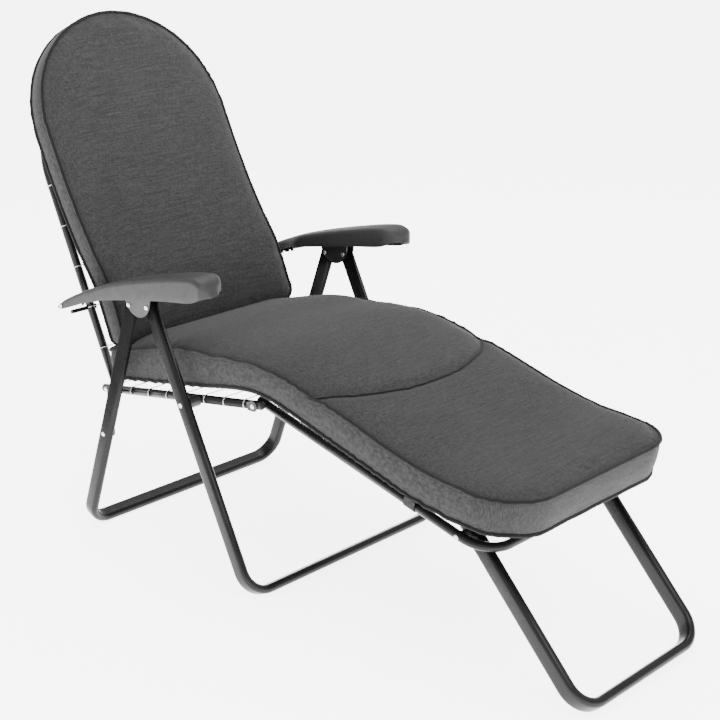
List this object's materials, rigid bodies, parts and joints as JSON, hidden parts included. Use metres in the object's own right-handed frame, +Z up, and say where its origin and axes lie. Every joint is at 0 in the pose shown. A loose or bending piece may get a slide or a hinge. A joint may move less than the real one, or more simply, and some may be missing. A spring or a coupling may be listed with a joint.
{
  "type": "folding recliner chair",
  "caption": "Padded folding recliner with armrests, a reclining arched back and a footrest on its own legs, on bent tube leg frames.",
  "frame": {"origin": "on the floor under the middle of the whole chair", "axes": "+X to the sitter's left, +Y to the rear along the chair's length, +Z up; the sitter faces -Y"},
  "size_m": [0.605, 1.5548, 1.1128],
  "materials": {
    "frame_steel": "satin anthracite powder coat",
    "bracket_steel": "satin anthracite",
    "armrest_plastic": "fine-grained matte",
    "black_plastic": "matte",
    "zinc_steel": "zinc plated",
    "pad_fabric": "slubbed charcoal melange weave"
  },
  "bodies": {
    "seat": {"seat_rail_left": "frame_steel", "seat_rail_plug_front_left": "black_plastic", "seat_rail_plug_rear_left": "black_plastic", "footrest_hinge_plate_left": "black_plastic", "front_leg_spacer_left": "black_plastic", "link_spacer_left": "black_plastic", "front_leg_rivet_left": "zinc_steel", "link_upper_rivet_left": "zinc_steel", "back_hinge_rivet_left": "zinc_steel", "footrest_hinge_rivet_left": "zinc_steel", "seat_rail_right": "frame_steel", "seat_rail_plug_front_right": "black_plastic", "seat_rail_plug_rear_right": "black_plastic", "footrest_hinge_plate_right": "black_plastic", "front_leg_spacer_right": "black_plastic", "link_spacer_right": "black_plastic", "front_leg_rivet_right": "zinc_steel", "link_upper_rivet_right": "zinc_steel", "back_hinge_rivet_right": "zinc_steel", "footrest_hinge_rivet_right": "zinc_steel", "seat_net": "zinc_steel", "seat_cushion": "pad_fabric"},
    "front_legs": {"front_leg_frame": "frame_steel"},
    "armrest_left": {"armrest_left": "armrest_plastic", "armrest_bracket_outer_left": "bracket_steel", "armrest_bracket_inner_left": "bracket_steel", "recline_rack_left": "frame_steel", "armrest_front_rivet_left": "zinc_steel", "armrest_rear_rivet_left": "zinc_steel", "armrest_tail_rivet_left": "zinc_steel"},
    "armrest_right": {"armrest_right": "armrest_plastic", "armrest_bracket_outer_right": "bracket_steel", "armrest_bracket_inner_right": "bracket_steel", "recline_rack_right": "frame_steel", "armrest_front_rivet_right": "zinc_steel", "armrest_rear_rivet_right": "zinc_steel", "armrest_tail_rivet_right": "zinc_steel"},
    "rear_legs": {"rear_leg_frame": "frame_steel", "link_lower_rivet_left": "zinc_steel", "link_lower_rivet_right": "zinc_steel"},
    "link_left": {"seat_link_left": "frame_steel"},
    "link_right": {"seat_link_right": "frame_steel"},
    "back": {"back_frame": "frame_steel", "back_net": "zinc_steel", "recline_pin_left": "frame_steel", "recline_pin_right": "frame_steel", "back_cushion": "pad_fabric"},
    "footrest": {"footrest_frame": "frame_steel", "footrest_net": "zinc_steel", "footrest_cushion": "pad_fabric", "cushion_strap_left": "pad_fabric", "footrest_leg_spacer_left": "black_plastic", "footrest_leg_rivet_left": "zinc_steel", "cushion_strap_right": "pad_fabric", "footrest_leg_spacer_right": "black_plastic", "footrest_leg_rivet_right": "zinc_steel"},
    "footrest_legs": {"footrest_leg_frame": "frame_steel"}
  },
  "joints": [
    {"name": "leg_fold", "type": "hinge", "parent": "seat", "child": "front_legs", "pos_m": [0, 0.17247, 0.38629], "axis": [1, 0, 0], "range_deg": [0, 100]},
    {"name": "armrest_left_tilt", "type": "hinge", "parent": "front_legs", "child": "armrest_left", "pos_m": [0, 0.26146, 0.5754], "axis": [1, 0, 0], "range_deg": [-71, 0]},
    {"name": "armrest_right_tilt", "type": "hinge", "parent": "front_legs", "child": "armrest_right", "pos_m": [0, 0.26146, 0.5754], "axis": [1, 0, 0], "range_deg": [-71, 0]},
    {"name": "rear_leg_fold", "type": "hinge", "parent": "armrest_left", "child": "rear_legs", "pos_m": [0, 0.32046, 0.5704], "axis": [1, 0, 0], "range_deg": [0, 27]},
    {"name": "link_left_turn", "type": "hinge", "parent": "seat", "child": "link_left", "pos_m": [0, 0.4437, 0.34091], "axis": [1, 0, 0], "range_deg": [-125.3, 0]},
    {"name": "link_right_turn", "type": "hinge", "parent": "seat", "child": "link_right", "pos_m": [0, 0.4437, 0.34091], "axis": [1, 0, 0], "range_deg": [-125.3, 0]},
    {"name": "footrest_fold", "type": "hinge", "parent": "seat", "child": "footrest", "pos_m": [0, -0.00013, 0.41518], "axis": [1, 0, 0], "range_deg": [0, 135]},
    {"name": "recline", "type": "hinge", "parent": "seat", "child": "back", "pos_m": [0, 0.49105, 0.33298], "axis": [1, 0, 0], "range_deg": [-8, 80], "deforming": ["back_cushion", "seat_cushion"]},
    {"name": "footrest_leg_fold", "type": "hinge", "parent": "footrest", "child": "footrest_legs", "pos_m": [0, -0.50975, 0.28906], "axis": [1, 0, 0], "range_deg": [0, 138]}
  ],
  "couplings": [
    {"joint": "armrest_left_tilt", "follows": "leg_fold", "ratio": -0.7},
    {"joint": "armrest_right_tilt", "follows": "leg_fold", "ratio": -0.7},
    {"joint": "rear_leg_fold", "follows": "leg_fold", "ratio": 0.26},
    {"joint": "link_left_turn", "follows": "leg_fold", "ratio": -1.243},
    {"joint": "link_right_turn", "follows": "leg_fold", "ratio": -1.243},
    {"joint": "footrest_fold", "follows": "leg_fold", "ratio": 1.34}
  ]
}
